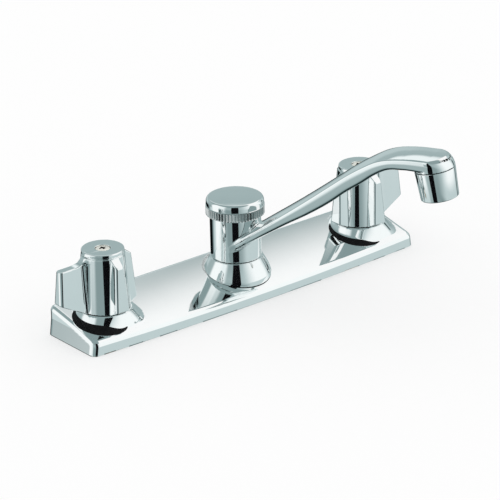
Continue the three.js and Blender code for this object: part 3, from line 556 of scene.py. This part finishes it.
# ---------------------------------------------------------------- conical ring under the spout
ring_path = []
for i in range(RING_STEPS + 1):
    bulge = math.sin(RING_ARC * i / RING_STEPS) / math.sin(RING_ARC)
    ring_path.append((
        RING_TOP_RADIUS + (RING_FOOT_RADIUS - RING_TOP_RADIUS) * bulge,
        RING_TOP - RING_EDGE - (RING_DROP - RING_EDGE) * i / RING_STEPS,
    ))
bevel = 0.3 * RING_EDGE  # one point in the middle stands for the round edge
ring_outside = [
    (RING_TOP_RADIUS - RING_EDGE, RING_TOP), (RING_TOP_RADIUS - bevel, RING_TOP - bevel),
    *ring_path,
]
ring_outside += finely(ring_path[-1], (RING_FOOT_RADIUS, RING_SINK), 1)[1:]
ring_inside = [(r - RING_WALL, min(z, RING_TOP - RING_WALL)) for r, z in reversed(ring_outside)]
ring_inside.append((RING_BORE, RING_TOP - RING_WALL))


def stand_on_plate(radius, height, angle):
    """Ends the ring just above the sloping plate."""
    gap = CLEARANCE / math.cos(math.atan(PLATE_SLOPE))
    return radius, np.maximum(height, PLATE_HEIGHT + gap + PLATE_SLOPE * radius * np.sin(angle))


points, faces = turned([(RING_BORE, RING_TOP), *ring_outside, *ring_inside], 144, stand_on_plate)
piece("spout_cone", points, faces, CHROME, "deck", "spout_base_ring", "chrome", sharp=50)


# ---------------------------------------------------------------- handles
def handle_field(x, y, z):
    radius = np.hypot(x, y)
    collar_bottom = HANDLE_TOP - COLLAR_HEIGHT
    top_radius = HANDLE_RADIUS + COLLAR_STEP
    taper = (HANDLE_FOOT - top_radius) / (collar_bottom - HANDLE_BOTTOM)
    bell = (radius - top_radius - (collar_bottom - z) * taper) / math.hypot(1, taper)
    bell = round_cut(bell, z - collar_bottom - COLLAR_STEP, HANDLE_EDGE)
    collar = round_cut(radius - HANDLE_RADIUS, z - HANDLE_TOP, COLLAR_EDGE)
    lean = (ARM_FOOT_WIDTH - ARM_TOP_WIDTH) / 2 / (HANDLE_TOP - HANDLE_BOTTOM)
    half = ARM_TOP_WIDTH / 2 + (HANDLE_TOP - z) * lean
    leg = math.hypot(1, lean)

    def beyond(a, b, along, up_to):
        """Distance outside the line from a to b, with the solid on its left."""
        run, climb = b[0] - a[0], b[1] - a[1]
        return ((along - a[0]) * climb - (up_to - a[1]) * run) / math.hypot(run, climb)

    def arm(along, aside, root, flare, foot, tip, tip_top, crown, end_round):
        """A blade whose thickness grows from a share, root, to the whole over its flare."""
        grown = 1 - (1 - np.clip((along - HANDLE_RADIUS - FLARE_START) / flare, 0, 1)) ** 2
        sides = (np.abs(aside) - half * (root + (1 - root) * grown)) / leg
        end = round_cut(sides, beyond(tip, tip_top, along, z), end_round)
        under = round_cut(end, beyond(foot, tip, along, z), HANDLE_EDGE)
        return np.maximum(round_cut(under, crown, HANDLE_EDGE), -along)

    tip_top = HANDLE_TOP - LEVER_DROP
    lever_top = beyond((LEVER_REACH_TOP, tip_top), (HANDLE_RADIUS, tip_top + LEVER_RISE), x, z)
    sweep = np.clip(1 - (x - HANDLE_RADIUS) / LEVER_SWEEP_RUN, 0, 1) ** 2
    high = np.clip((z - HANDLE_BOTTOM) / (tip_top - HANDLE_BOTTOM), 0, 1)
    lever = arm(
        x, y, LEVER_ROOT_FOOT + (LEVER_ROOT_TOP - LEVER_ROOT_FOOT) * high, LEVER_FLARE,
        (HANDLE_FOOT, HANDLE_BOTTOM), (LEVER_REACH_FOOT + LEVER_LONGER, LEVER_TIP_FOOT),
        (LEVER_REACH_TOP + LEVER_LONGER, tip_top), lever_top - LEVER_SWEEP * sweep, LEVER_END,
    )
    fins = np.inf
    for along, aside in ((y, x), (-x, y), (-y, x)):
        fin_top = FIN_REACH_TOP, HANDLE_TOP - FIN_DROP
        slope_down = beyond(fin_top, (HANDLE_RADIUS, collar_bottom), along, z)
        slope_down = np.maximum(slope_down, z - collar_bottom)
        fins = np.minimum(fins, arm(
            along, aside, FIN_ROOT, FIN_FLARE, (HANDLE_FOOT, HANDLE_BOTTOM),
            (FIN_REACH_FOOT, HANDLE_BOTTOM + FIN_RISE), fin_top, slope_down, FIN_END,
        ))
    body = np.minimum(bell, collar)
    grown = np.clip((z - tip_top + NECK_START) / NECK_RUN, 0, 1)
    shape = round_join(body, lever, CREASE + (LEVER_NECK - CREASE) * grown)
    grown = np.clip((collar_bottom - z) / CREASE_FADE, 0, 1)
    fin_crease = TIGHT_CREASE + (CREASE - TIGHT_CREASE) * grown
    shape = np.minimum(shape, round_join(bell, fins, fin_crease))
    groove = np.maximum(HANDLE_RADIUS - GROOVE_DEPTH - radius, radius - HANDLE_RADIUS - GROOVE_OUT)
    groove = np.maximum(groove, np.abs(z - collar_bottom - COLLAR_STEP - GROOVE_HALF) - GROOVE_HALF)
    shape = np.maximum(shape, -groove)
    shape = np.maximum(shape, HANDLE_BOTTOM - z)
    ceiling = HANDLE_TOP - HANDLE_ROOF
    hollow = np.maximum(bell + HANDLE_WALL, z - ceiling)
    core = np.maximum(radius - CORE_RADIUS, CORE_FOOT - z)
    shape = np.maximum(shape, -np.maximum(hollow, -core))
    stem = np.maximum(radius - STEM_HOLE, z - STEM_TOP - CLEARANCE)
    sink = np.maximum(radius - SCREW_HEAD - CLEARANCE, HANDLE_TOP - SCREW_HEIGHT - z)
    return np.maximum(shape, -np.minimum(np.minimum(stem, sink), radius - SCREW_HOLE))


handle_mesh = net(handle_field, (-23, -22.5, 17.5), (35, 22.5, 58.2), cell=0.42)


# ---------------------------------------------------------------- screws in the handles
def screw_field(x, y, z):
    radius = np.hypot(x, y)
    bottom, top = HANDLE_TOP - SCREW_HEIGHT + CLEARANCE, HANDLE_TOP + SCREW_PROUD
    dome = np.hypot(radius, z - (top - SCREW_DOME)) - SCREW_DOME
    head = np.maximum(round_cut(radius - SCREW_HEAD, dome, SCREW_EDGE), bottom - z)
    wave = np.cos(2 * math.pi * z / SCREW_PITCH - np.arctan2(y, x))
    end = STEM_TOP - SCREW_GRIP
    rod = radius - SCREW_ROD - SCREW_THREAD * wave
    rod = np.maximum(rod, np.maximum(z - bottom - SCREW_OVERLAP, end - z))
    rod = round_cut(rod, radius + end - z - SCREW_TAPER, SCREW_TIP_EDGE)
    first = np.maximum(np.abs(x) - SLOT_REACH, np.abs(y) - SLOT_HALF)
    second = np.maximum(np.abs(y) - SLOT_REACH, np.abs(x) - SLOT_HALF)
    recess = np.maximum(np.minimum(first, second), top - SLOT_DEPTH + SLOT_RISE * radius - z)
    return np.maximum(np.minimum(head, rod), -recess)


screw_mesh = net(screw_field, (-5, -5, 37), (5, 5, 57.5), cell=0.22)

for side, sign, turn in (("left", -1, LEFT_TURN), ("right", 1, RIGHT_TURN)):
    shift = (sign * HOLE_SPACING / 2, 0, 0)
    for name, mesh, material, node, slot in (
        ("bell_handle", handle_mesh, CHROME, "handle", "chrome"),
        ("head_screw", screw_mesh, SCREW, "handle_screw", "steel"),
    ):
        points, faces, normals = mesh
        made = piece(
            f"{side}_{name}", place(points, turn, shift), faces, material, f"{side}_handle",
            f"{side}_{node}", slot, place(normals, turn),
        )
        if node == "handle_screw":
            # faces in the slots take painted shade, a near-black material
            middles = points[faces].mean(1)
            recess = np.hypot(*middles[:, :2].T) < SLOT_REACH + SLOT_MARGIN
            recess &= middles[:, 2] < HANDLE_TOP - SLOT_MARGIN
            recess &= middles[:, 2] > HANDLE_TOP - SCREW_HEIGHT - 1
            made.data.materials.append(SLOT_SHADE)
            made.data.polygons.foreach_set("material_index", recess.astype(np.int32))

# ---------------------------------------------------------------- spout arm
climb = SPOUT_PEAK - SPOUT_ROOT
station_x = np.array([along * SPOUT_REACH for along, _, _ in ARM_STATIONS])
station_top = np.array([SPOUT_ROOT + climb * part for _, part, _ in ARM_STATIONS])
station_low = station_top - np.array([depth for _, _, depth in ARM_STATIONS])


def through(xs, ys):
    """A smooth line through points, with its slope, as two lookups."""
    slopes = np.gradient(ys, xs)

    def line(x):
        i = np.clip(np.searchsorted(xs, x) - 1, 0, len(xs) - 2)
        width = xs[i + 1] - xs[i]
        t = np.clip((x - xs[i]) / width, 0, 1)
        a, b, m, n = ys[i], ys[i + 1], slopes[i] * width, slopes[i + 1] * width
        height = (
            (2 * t**3 - 3 * t**2 + 1) * a + (t**3 - 2 * t**2 + t) * m
            + (3 * t**2 - 2 * t**3) * b + (t**3 - t**2) * n
        )
        slope = (6 * t**2 - 6 * t) * (a - b) + (3 * t**2 - 4 * t + 1) * m + (3 * t**2 - 2 * t) * n
        return height, slope / width

    return line


arm_top_line, arm_low_line = through(station_x, station_top), through(station_x, station_low)
TILT = math.radians(NOSE_TILT)


def on_outlet(x, y, z):
    """Distance from the outlet's leaning axis and height above the seam."""
    dx, dz = x - SPOUT_REACH, z - SEAM
    along = dx * math.cos(TILT) + dz * math.sin(TILT)
    return np.hypot(along, y), dz * math.cos(TILT) - dx * math.sin(TILT)


def arm_field(x, y, z):
    inner = np.clip(x, 0, SPOUT_REACH)
    (top, top_slope), (low, low_slope) = arm_top_line(inner), arm_low_line(inner)
    crown = y**2 / (2 * ARM_CROWN) - CROWN_LIFT
    upper = (z - top + crown) / np.sqrt(1 + top_slope**2)
    lower = (low - z) / np.sqrt(1 + low_slope**2)
    half = ARM_ROOT_HALF + (NOSE_RADIUS - ARM_ROOT_HALF) * inner / SPOUT_REACH
    middle = (2 * z - top - low) / (top - low)
    sides = np.abs(y) - half + ARM_BULGE * np.minimum(middle**2, 2)
    bar = round_cut(round_cut(upper, sides, ARM_EDGE), lower, ARM_UNDER_EDGE)
    bar = np.maximum(bar, np.maximum(-x, x - SPOUT_REACH))
    out, height = on_outlet(x, y, z)
    fall = NOSE_EDGE + NOSE_EDGE_GAIN * np.clip((x - SPOUT_REACH) / NOSE_RADIUS, 0, 1)
    nose = round_cut(out - NOSE_RADIUS, z - top + crown, fall)
    arm = np.maximum(np.minimum(bar, nose), -np.maximum(out - 2 * NOSE_RADIUS, height))
    radius = np.hypot(x, y)
    hub = round_cut(radius - HUB_RADIUS, HUB_BOTTOM - z, HUB_EDGE)
    hub = np.maximum(hub, z - HUB_TOP)
    shape = round_join(hub, arm, HUB_JOIN)
    bore = np.maximum(radius - HUB_BORE, z - POST_SHOULDER)
    bore = np.minimum(bore, radius - POST_THREAD - 2 * CLEARANCE)
    bore = np.minimum(bore, np.maximum(radius - HUB_RECESS, HUB_TOP - HUB_RECESS_DEPTH - z))
    socket = np.maximum(out - NOSE_SOCKET, height - NOSE_SOCKET_DEPTH)
    return np.maximum(shape, -np.minimum(bore, socket))


arm_turn = SPOUT_SWING - 90
points, faces, normals = net(arm_field, (-17.5, -17.5, 22), (147, 17.5, 110), cell=0.7)
piece(
    "spout_casting", place(points, arm_turn), faces, CHROME, "spout", "spout_arm", "chrome",
    place(normals, arm_turn),
)

# ---------------------------------------------------------------- spout nut
edge = NUT_RADIUS - NUT_FACE
dome = [
    (NUT_FACE + edge * math.cos(a), NUT_TOP - NUT_DOME * edge * (1 - math.sin(a)))
    for a in np.linspace(0, math.pi / 2, 12)
]
band = finely((NUT_KNURL, NUT_BOTTOM), (NUT_KNURL, NUT_KNURL_TOP), 0.3)
skirt, ceiling = NUT_RADIUS - NUT_WALL, NUT_TOP - NUT_CEILING
nut_path = [
    (NUT_BORE, NUT_BOTTOM), (NUT_SLEEVE, NUT_BOTTOM), (NUT_SLEEVE, ceiling), (skirt, ceiling),
    (skirt, NUT_BOTTOM), (NUT_KNURL - NUT_TOOTH_DEPTH, NUT_BOTTOM), *band,
    (NUT_RADIUS, NUT_KNURL_TOP + NUT_STEP), *dome,
    (0, NUT_TOP), (0, NUT_TOP - NUT_ROOF), (NUT_BORE, NUT_TOP - NUT_ROOF),
]


def knurl(radius, height, angle):
    """Upright teeth on the band, fading at its two ends."""
    wave = 0.5 - 0.5 * np.cos(NUT_TEETH * angle)
    from_end = np.minimum(height - NUT_BOTTOM, NUT_KNURL_TOP - height)
    deep = NUT_TOOTH_DEPTH * np.clip(from_end / NUT_TOOTH_END, 0, 1)
    toothed = radius - deep * wave**NUT_TOOTH_POWER
    return np.where(radius > NUT_RADIUS + 0.1, toothed, radius), height


points, faces = turned(nut_path, NUT_TEETH * 8, knurl)
cap = piece("spout_cap", points, faces, CHROME, "deck", "spout_nut", "chrome", sharp=40)
cap.data.materials.append(KNURL)
for face in cap.data.polygons:  # those of the band take the knurl's material
    middle = face.center / MM
    if math.hypot(middle.x, middle.y) > NUT_RADIUS - 0.7 and NUT_BOTTOM < middle.z < NUT_KNURL_TOP:
        face.material_index = 1


# ---------------------------------------------------------------- aerator
def lean(points):
    """Stands points from the outlet's own frame on the leaning outlet of the turned arm."""
    c, s = math.cos(TILT), math.sin(TILT)
    x, y, z = points.T
    stood = np.stack([x * c - z * s + SPOUT_REACH, y, x * s + z * c + SEAM], 1)
    return place(stood, arm_turn)


lip_top = AERATOR_LIP - AERATOR_LENGTH
housing = outline(
    (AERATOR_MOUTH, -AERATOR_LENGTH, AERATOR_MOUTH_EDGE),
    (AERATOR_FOOT, -AERATOR_LENGTH, AERATOR_FOOT_EDGE),
    (NOSE_RADIUS, -CLEARANCE, AERATOR_TOP_EDGE), (AERATOR_NECK, -CLEARANCE),
    (AERATOR_NECK, AERATOR_NECK_LENGTH), (AERATOR_BORE, AERATOR_NECK_LENGTH),
    (AERATOR_BORE, lip_top), (AERATOR_MOUTH, lip_top),
)
points, faces = turned(housing, 128)
piece("aerator_shell", lean(points), faces, CHROME, "spout", "aerator_housing", "chrome")


# ---------------------------------------------------------------- threaded shanks
def thread(radius, height, angle):
    """A helical groove in the shank's outside."""
    turns = height / THREAD_PITCH - angle / (2 * math.pi)
    wave = np.abs(2 * (turns - np.floor(turns)) - 1)  # cut off below for flat crests and roots
    runs_in = np.clip((height + SHANK_LENGTH) / THREAD_LEAD, 0, 1)
    runs_out = np.clip((THREAD_TOP - height) / THREAD_FADE, 0, 1)
    cut = THREAD_DEPTH * np.clip(wave * 1.5 - 0.25, 0, 1) * runs_in * runs_out
    return np.where(radius > SHANK_RADIUS - 0.01, radius - cut, radius), height


shank_path = [
    (SHANK_BORE, -SHANK_LENGTH), (SHANK_RADIUS - 1, -SHANK_LENGTH),
    *finely((SHANK_RADIUS, 1 - SHANK_LENGTH), (SHANK_RADIUS, SHANK_SHOULDER), 0.3),
    (SHANK_SPIGOT, SHANK_SHOULDER), (SHANK_SPIGOT, SHANK_TOP), (SHANK_BORE, SHANK_TOP),
]
points, faces = turned(shank_path, 64, thread)
for side, sign in (("left", -1), ("right", 1)):
    moved = place(points, 0, (sign * HOLE_SPACING / 2, 0, 0))
    piece(f"{side}_threaded_shank", moved, faces, BRASS, "deck", f"{side}_shank", "brass")

# ---------------------------------------------------------------- CAD nodes that stay
STAYING = {
    "chrome": CHROME, "brass": BRASS, "steel": STEEL,
    "rubber": RUBBER, "nylon": NYLON, "acetal": ACETAL,
}
slot_of = {entry["node"]: entry["material_slot"] for entry in frame["record"]["subparts"]}
for name, node in frame["nodes"].items():
    node.data.materials.clear()
    node.data.materials.append(STAYING[slot_of[name]])

# ---------------------------------------------------------------- floor, not seen in the metal
FLOOR_HALF, FLOOR_GLOW = 6, 0.5  # metres to each side, and how much paler the camera sees it


def card(name, corners, finish_name, colour, roughness):
    """A flat stage piece with a plain matt material; gives the object, the tree and the shader."""
    mesh = bpy.data.meshes.new(name)
    mesh.from_pydata(corners, [], [(0, 1, 2, 3)])
    made = bpy.data.objects.new(name, mesh)
    bpy.context.scene.collection.objects.link(made)
    material, tree, shader = nodes_of(finish_name)
    shader.inputs["Base Color"].default_value = colour
    shader.inputs["Roughness"].default_value = roughness
    shader.inputs["Specular IOR Level"].default_value = 0.0
    mesh.materials.append(material)
    return made, tree, shader


square = ((-1, -1), (1, -1), (1, 1), (-1, 1))
floor_corners = [(FLOOR_HALF * x, FLOOR_HALF * y, 0) for x, y in square]
_, tree, shader = card("floor", floor_corners, "floor_paper", (0.98, 0.98, 0.98, 1), 0.9)
glow = tree.nodes.new("ShaderNodeEmission")
clear = tree.nodes.new("ShaderNodeBsdfTransparent")
path_kind = tree.nodes.new("ShaderNodeLightPath")
paler, seen_in_metal = tree.nodes.new("ShaderNodeMixShader"), tree.nodes.new("ShaderNodeMixShader")
paler_share = tree.nodes.new("ShaderNodeMath")
paler_share.operation = "MULTIPLY"
paler_share.inputs[1].default_value = FLOOR_GLOW
tree.links.new(path_kind.outputs["Is Camera Ray"], paler_share.inputs[0])
tree.links.new(paler_share.outputs["Value"], paler.inputs["Fac"])
tree.links.new(shader.outputs["BSDF"], paler.inputs[1])
tree.links.new(glow.outputs["Emission"], paler.inputs[2])
tree.links.new(path_kind.outputs["Is Glossy Ray"], seen_in_metal.inputs["Fac"])
tree.links.new(paler.outputs["Shader"], seen_in_metal.inputs[1])
tree.links.new(clear.outputs["BSDF"], seen_in_metal.inputs[2])
tree.links.new(seen_in_metal.outputs["Shader"], tree.nodes["Material Output"].inputs["Surface"])

# ---------------------------------------------------------------- black flag, only in the metal
FLAG_LEFT, FLAG_RIGHT, FLAG_HEIGHTS = (-250, -185), (-126, -262), (-130, 330)
flag_sides = ((FLAG_LEFT, 0), (FLAG_RIGHT, 0), (FLAG_RIGHT, 1), (FLAG_LEFT, 1))
flag_corners = [(x * MM, y * MM, FLAG_HEIGHTS[end] * MM) for (x, y), end in flag_sides]
flag, _, _ = card("flag", flag_corners, "flag_velvet", (0.004, 0.004, 0.005, 1), 1.0)
flag.visible_camera = flag.visible_diffuse = flag.visible_shadow = False
flag.visible_transmission = flag.visible_volume_scatter = False

# ---------------------------------------------------------------- studio seen in the metal
world = bpy.data.worlds.new("studio")
world.use_nodes = True
bpy.context.scene.world = world
tree = world.node_tree
background = tree.nodes["Background"]
facing = tree.nodes.new("ShaderNodeTexCoord").outputs["Generated"]


def math_node(kind, first, second=None):
    """The result of a sum on one or two values, each a number or another node's output."""
    made = tree.nodes.new("ShaderNodeMath")
    made.operation = kind
    for slot_number, value in enumerate((first, second)):
        if value is None:
            continue
        if isinstance(value, (int, float)):
            made.inputs[slot_number].default_value = value
        else:
            tree.links.new(value, made.inputs[slot_number])
    return made.outputs["Value"]


def along(direction):
    """How far the ray points in a direction, -1 to 1."""
    made = tree.nodes.new("ShaderNodeVectorMath")
    made.operation = "DOT_PRODUCT"
    tree.links.new(facing, made.inputs[0])
    made.inputs[1].default_value = direction
    return made.outputs["Value"]


def edges(value, low, high, soft_low, soft_high):
    """1 between two values and 0 beyond them, each edge with its own softness."""
    rising = tree.nodes.new("ShaderNodeMapRange")
    falling = tree.nodes.new("ShaderNodeMapRange")
    for node, at, soft, first in ((rising, low, soft_low, 0), (falling, high, soft_high, 1)):
        node.interpolation_type = "SMOOTHSTEP"
        node.inputs["From Min"].default_value = at - soft
        node.inputs["From Max"].default_value = at + soft
        node.inputs["To Min"].default_value = first
        node.inputs["To Max"].default_value = 1 - first
        tree.links.new(value, node.inputs["Value"])
    return math_node("MULTIPLY", rising.outputs["Result"], falling.outputs["Result"])


DEGREES = 180 / math.pi
elevation_now = math_node("MULTIPLY", math_node("ARCSINE", along((0, 0, 1))), DEGREES)


def wall_panel(azimuths, elevations, softness):
    """Where a panel on the studio's round wall is seen; all in degrees."""
    middle = math.radians(sum(azimuths) / 2)
    half = (azimuths[1] - azimuths[0]) / 2
    turn = math_node(
        "ARCTAN2",
        along((-math.sin(middle), math.cos(middle), 0)),
        along((math.cos(middle), math.sin(middle), 0)),
    )
    turn = math_node("MULTIPLY", turn, DEGREES)
    return math_node(
        "MULTIPLY",
        edges(turn, -half, half, softness[0], softness[1]),
        edges(elevation_now, *elevations, softness[2], softness[3]),
    )


def ceiling_panel(xs, ys, softness):
    """Where a level panel overhead is seen; its sides are shares of its height above the object."""
    high = math_node("MAXIMUM", along((0, 0, 1)), 0.01)
    return math_node(
        "MULTIPLY",
        edges(math_node("DIVIDE", along((1, 0, 0)), high), *xs, softness[0], softness[1]),
        edges(math_node("DIVIDE", along((0, 1, 0)), high), *ys, softness[2], softness[3]),
    )


CAST, METAL = 14, (0.93, 0.95, 0.95)  # most tint, 0 to 255, and what the chrome reflects


def tone(level):
    """A slightly green-blue grey, from the brightness (0 to 255) that it gives on the chrome."""
    share = level / 255
    cast = CAST / 255 * math.sqrt(max(0.0, 4 * share * (1 - share)))
    colour = []
    for shift, metal in zip((-1, 0.42, 0.5), METAL):  # red, green, blue
        value = min(max(share + shift * cast, 0), 1)
        linear = value / 12.92 if value < 0.04045 else ((value + 0.055) / 1.055) ** 2.4
        colour.append(min(linear / metal, 1.0))
    return (*colour, 1)


HEIGHTS = [  # elevation in degrees, brightness
    (-90, 30), (-58, 60), (-46, 145), (-35, 150), (-24, 140), (-12, 148),
    (-2, 164), (20, 172), (30, 166), (42, 148), (90, 150),
]
height_ramp = tree.nodes.new("ShaderNodeValToRGB")
tree.links.new(
    math_node("ADD", math_node("MULTIPLY", elevation_now, 1 / 180), 0.5), height_ramp.inputs["Fac"]
)
stops = height_ramp.color_ramp.elements
for angle, level in HEIGHTS:
    at = (angle + 90) / 180
    stop = stops[0] if at == 0 else stops[-1] if at == 1 else stops.new(at)
    stop.position, stop.color = at, tone(level)

PANELS = [  # brightness, azimuths, elevations, softness of the four edges
    (170, (-200, -168), (-36, -14), (6, 8, 6, 4)),
    (238, (-200, -170), (-17, 45), (6, 8, 3, 6)),
    (192, (46, 100), (-8, 14), (6, 8, 4, 5)),
    (240, (47, 72), (29, 47), (4, 6, 3, 4)),
    (200, (-105, 14), (-40, 46), (24, 14, 8, 4)),
    (248, (-82, -12), (-12, 46), (24, 10, 5, 4)),
    (205, (116, 172), (-45, -18), (8, 8, 4, 3)),
    (248, (131, 167), (-30, 46), (6, 8, 6, 5)),
    (120, (-118, -88), (-50, -24), (10, 14, 8, 4)),
    (6, (47, 106), (-70, -13), (3, 7, 8, 2)),
    (70, (-4, 6), (-26, 10), (3, 3, 4, 4)),
]
CEILING_LEVEL, CEILING_XS, CEILING_YS = 252, (0.45, 1.42), (-0.8, 0.78)
seen = height_ramp.outputs["Color"]
masks = [(level, wall_panel(*where)) for level, *where in PANELS]
overhead = ceiling_panel(CEILING_XS, CEILING_YS, softness=(0.08, 0.08, 0.1, 0.19))
masks.append((CEILING_LEVEL, overhead))
for level, mask in masks:
    mix = tree.nodes.new("ShaderNodeMixRGB")
    tree.links.new(mask, mix.inputs["Fac"])
    tree.links.new(seen, mix.inputs["Color1"])
    mix.inputs["Color2"].default_value = tone(level)
    seen = mix.outputs["Color"]

# the camera and soft light see plain white, and only reflections see the studio
plain = tree.nodes.new("ShaderNodeBackground")
plain.inputs["Color"].default_value = (1, 1, 1, 1)
plain.inputs["Strength"].default_value = 1.0
tree.links.new(seen, background.inputs["Color"])
background.inputs["Strength"].default_value = 1.0
ray = tree.nodes.new("ShaderNodeLightPath")
choose = tree.nodes.new("ShaderNodeMixShader")
tree.links.new(ray.outputs["Is Glossy Ray"], choose.inputs["Fac"])
tree.links.new(plain.outputs["Background"], choose.inputs[1])
tree.links.new(background.outputs["Background"], choose.inputs[2])
tree.links.new(choose.outputs["Shader"], tree.nodes["World Output"].inputs["Surface"])
